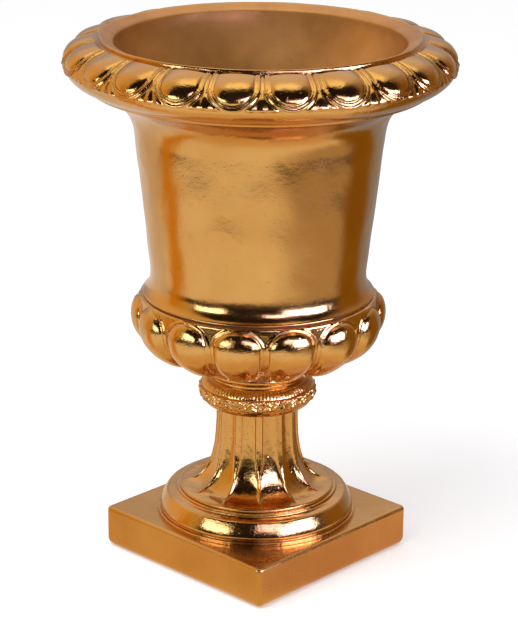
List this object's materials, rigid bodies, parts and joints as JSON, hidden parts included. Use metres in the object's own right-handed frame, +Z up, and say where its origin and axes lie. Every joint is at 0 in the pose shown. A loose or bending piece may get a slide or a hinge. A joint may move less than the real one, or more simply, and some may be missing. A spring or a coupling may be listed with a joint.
{
  "type": "footed urn planter",
  "caption": "Tall footed urn planter on a square plinth, with a bell body, lobed bowl, fluted stem and an egg-and-dart rim over a wide open mouth.",
  "frame": {"origin": "on the floor under the middle of the plinth", "axes": "+Z up along the urn's axis, X and Y square to the plinth's sides"},
  "size_m": [0.499, 0.499, 0.7],
  "materials": {
    "gold_cast": "satin",
    "gold_polished": "gloss",
    "steel": "satin",
    "rubber": "matte"
  },
  "bodies": {
    "root": {"plinth": "gold_cast", "foot": "gold_polished", "stem": "gold_cast", "collar": "gold_cast", "neck_ring": "gold_polished", "bowl": "gold_cast", "bowl_gasket": "rubber", "body": "gold_cast", "rim": "gold_cast", "tie_rod": "steel", "rod_seal": "rubber", "rod_top_washer": "steel", "rod_top_nut": "steel", "clamp_bar": "steel", "rod_bottom_washer": "steel", "rod_bottom_nut": "steel", "waist_bolts": "steel", "waist_washers": "steel", "waist_nuts": "steel", "throat_bolts": "steel", "throat_washers": "steel", "throat_nuts": "steel"}
  },
  "joints": []
}
